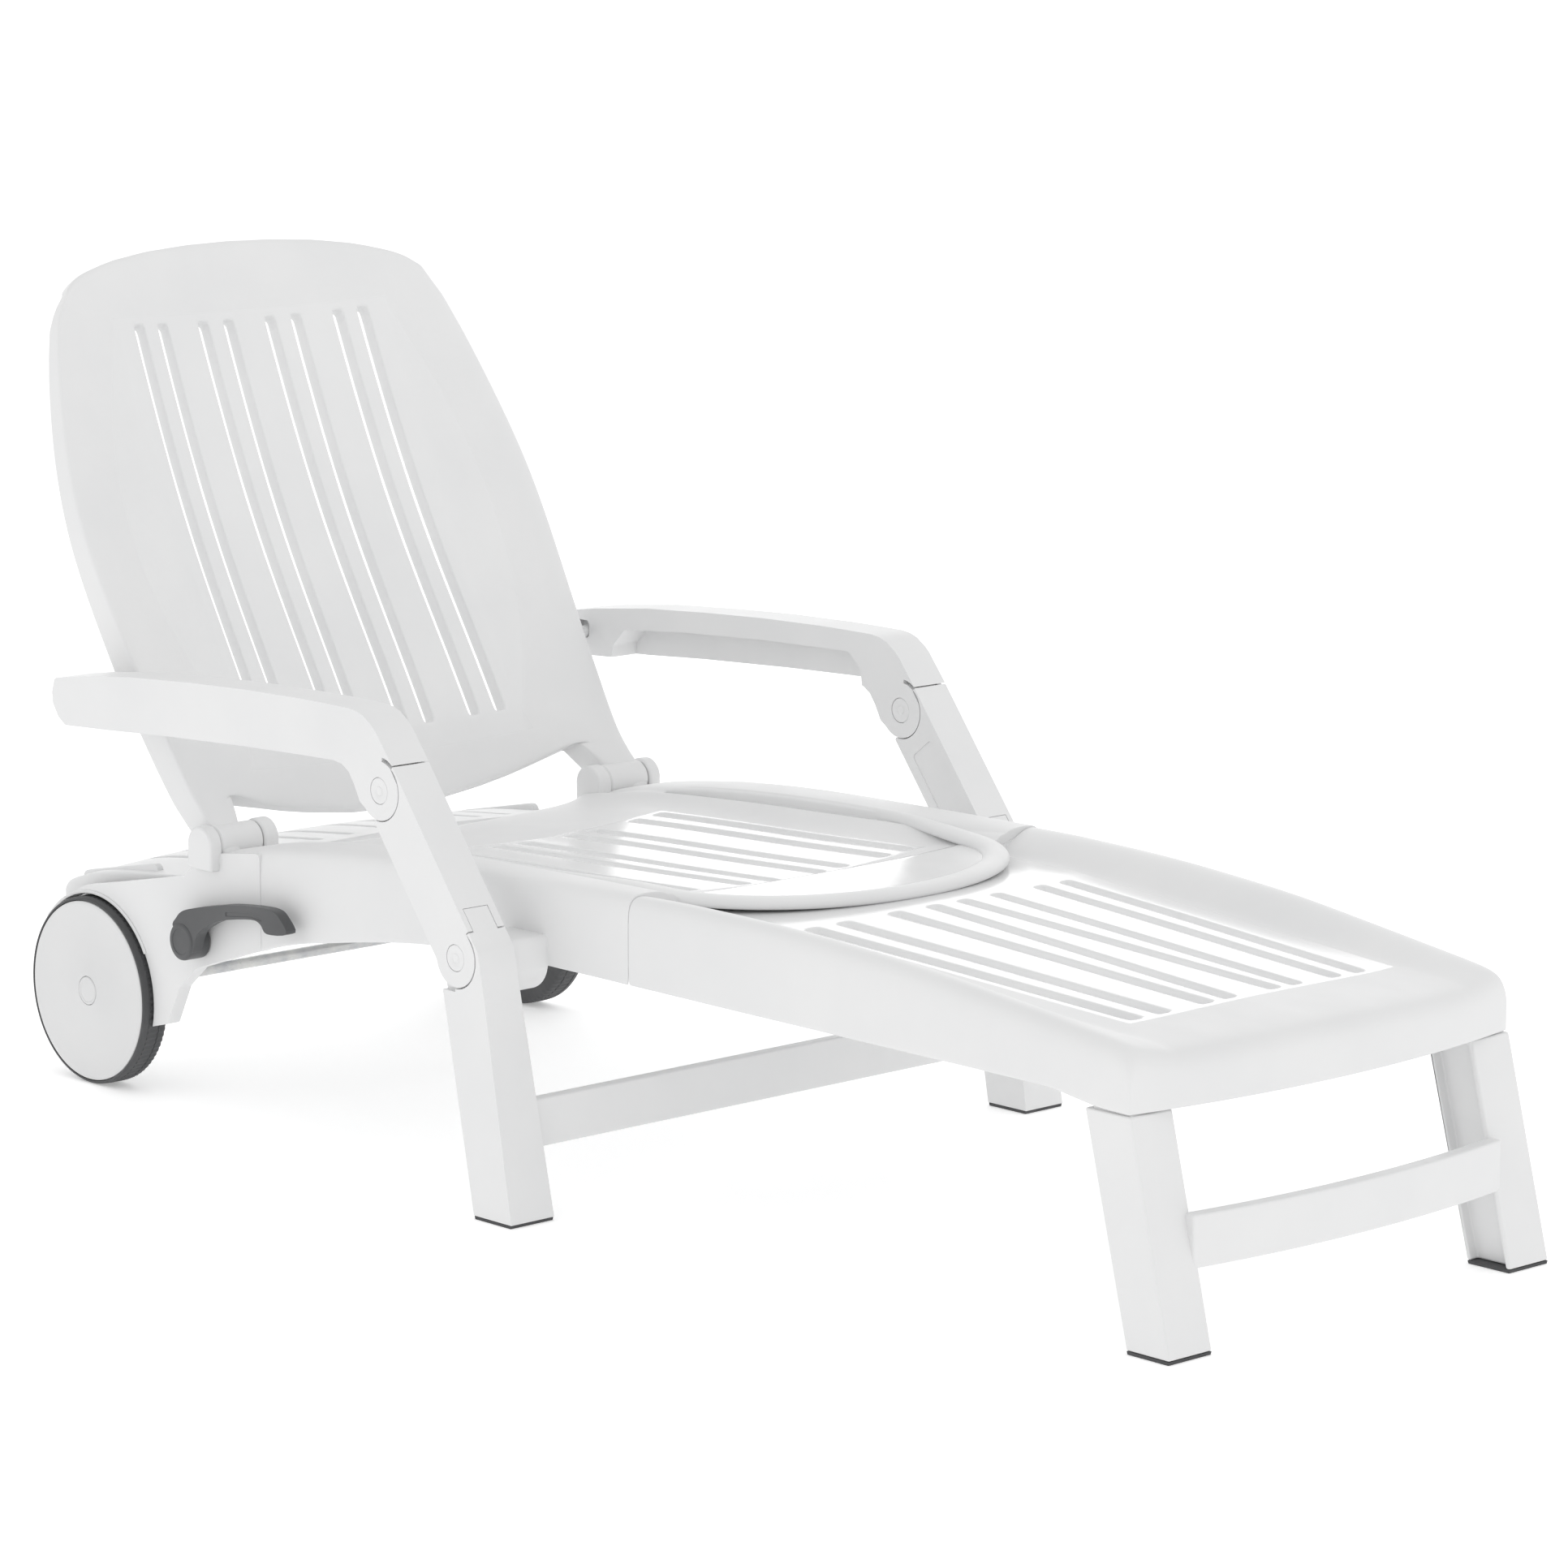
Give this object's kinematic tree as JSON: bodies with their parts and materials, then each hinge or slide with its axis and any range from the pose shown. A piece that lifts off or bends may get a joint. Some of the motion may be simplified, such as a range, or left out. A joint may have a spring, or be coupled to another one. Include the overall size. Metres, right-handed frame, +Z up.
{
  "type": "reclining sun lounger",
  "caption": "Moulded resin sun lounger with slatted seat and leg rest, reclining back linked to side armrests, lever-released ratchet and two rear wheels",
  "frame": {"origin": "centre of the plan on the floor that the lounger stands on", "axes": "+Z up, +Y from the foot end to the head end, +X across to the sitter's left"},
  "size_m": [0.7196, 1.6103, 0.8342],
  "materials": {
    "white_resin": "satin moulded polypropylene",
    "hub_resin": "satin moulded polypropylene, slightly greyer",
    "grey_resin": "matte dark grey moulded resin",
    "grey_tyre": "matte dark grey ribbed tread",
    "grey_rubber": "matte dark grey",
    "zinc_steel": "zinc plated"
  },
  "bodies": {
    "frame": {"leg_rest_frame": "white_resin", "seat_rear_frame": "white_resin", "front_leg_frame": "white_resin", "mid_leg_frame": "white_resin", "foot_pad_front_left": "grey_rubber", "foot_pad_front_right": "grey_rubber", "foot_pad_mid_left": "grey_rubber", "foot_pad_mid_right": "grey_rubber", "wheel_axle": "zinc_steel", "back_hinge_pin_left": "zinc_steel", "back_hinge_pin_right": "zinc_steel", "lower_arm_pin_left": "white_resin", "lower_arm_pin_right": "white_resin"},
    "back": {"backrest": "white_resin", "recline_quadrant_left": "zinc_steel", "recline_quadrant_right": "zinc_steel", "armrest_stud_left": "white_resin", "armrest_stud_right": "white_resin"},
    "link_left": {"arm_link_left": "white_resin", "upper_arm_pin_left": "white_resin"},
    "link_right": {"arm_link_right": "white_resin", "upper_arm_pin_right": "white_resin"},
    "arm_left": {"armrest_left": "white_resin"},
    "arm_right": {"armrest_right": "white_resin"},
    "lever": {"lever_shaft": "zinc_steel", "recline_lever_left": "grey_resin", "recline_lever_right": "grey_resin", "recline_pawl_left": "zinc_steel", "recline_pawl_right": "zinc_steel"},
    "wheel_left": {"wheel_tyre_left": "grey_tyre", "wheel_hub_left": "hub_resin", "wheel_cap_left": "hub_resin"},
    "wheel_right": {"wheel_tyre_right": "grey_tyre", "wheel_hub_right": "hub_resin", "wheel_cap_right": "hub_resin"}
  },
  "joints": [
    {"name": "backrest_recline", "type": "hinge", "parent": "frame", "child": "back", "pos_m": [0, 0.4684, 0.2725], "axis": [1, 0, 0], "range_deg": [-48, 0]},
    {"name": "arm_link_left_pivot", "type": "hinge", "parent": "frame", "child": "link_left", "pos_m": [-0.3357, -0.0032, 0.2418], "axis": [1, 0, 0], "range_deg": [-24.5, 0]},
    {"name": "arm_link_right_pivot", "type": "hinge", "parent": "frame", "child": "link_right", "pos_m": [0.3357, -0.0032, 0.2418], "axis": [1, 0, 0], "range_deg": [-24.5, 0]},
    {"name": "armrest_left_pivot", "type": "hinge", "parent": "link_left", "child": "arm_left", "pos_m": [-0.3357, 0.106, 0.3835], "axis": [1, 0, 0], "range_deg": [0, 15]},
    {"name": "armrest_right_pivot", "type": "hinge", "parent": "link_right", "child": "arm_right", "pos_m": [0.3357, 0.106, 0.3835], "axis": [1, 0, 0], "range_deg": [0, 15]},
    {"name": "recline_lever_pivot", "type": "hinge", "parent": "frame", "child": "lever", "pos_m": [0, 0.4829, 0.176], "axis": [1, 0, 0], "range_deg": [-20, 0], "stiffness_Nm_per_rad": 2, "springref_deg": 9.74},
    {"name": "wheel_left_spin", "type": "hinge", "parent": "frame", "child": "wheel_left", "pos_m": [-0.28, 0.6606, 0.0963], "axis": [1, 0, 0], "continuous": true},
    {"name": "wheel_right_spin", "type": "hinge", "parent": "frame", "child": "wheel_right", "pos_m": [0.28, 0.6606, 0.0963], "axis": [1, 0, 0], "continuous": true}
  ],
  "couplings": [
    {"joint": "arm_link_left_pivot", "follows": "backrest_recline", "ratio": 0.5},
    {"joint": "arm_link_right_pivot", "follows": "backrest_recline", "ratio": 0.5},
    {"joint": "armrest_left_pivot", "follows": "backrest_recline", "ratio": -0.3},
    {"joint": "armrest_right_pivot", "follows": "backrest_recline", "ratio": -0.3}
  ]
}
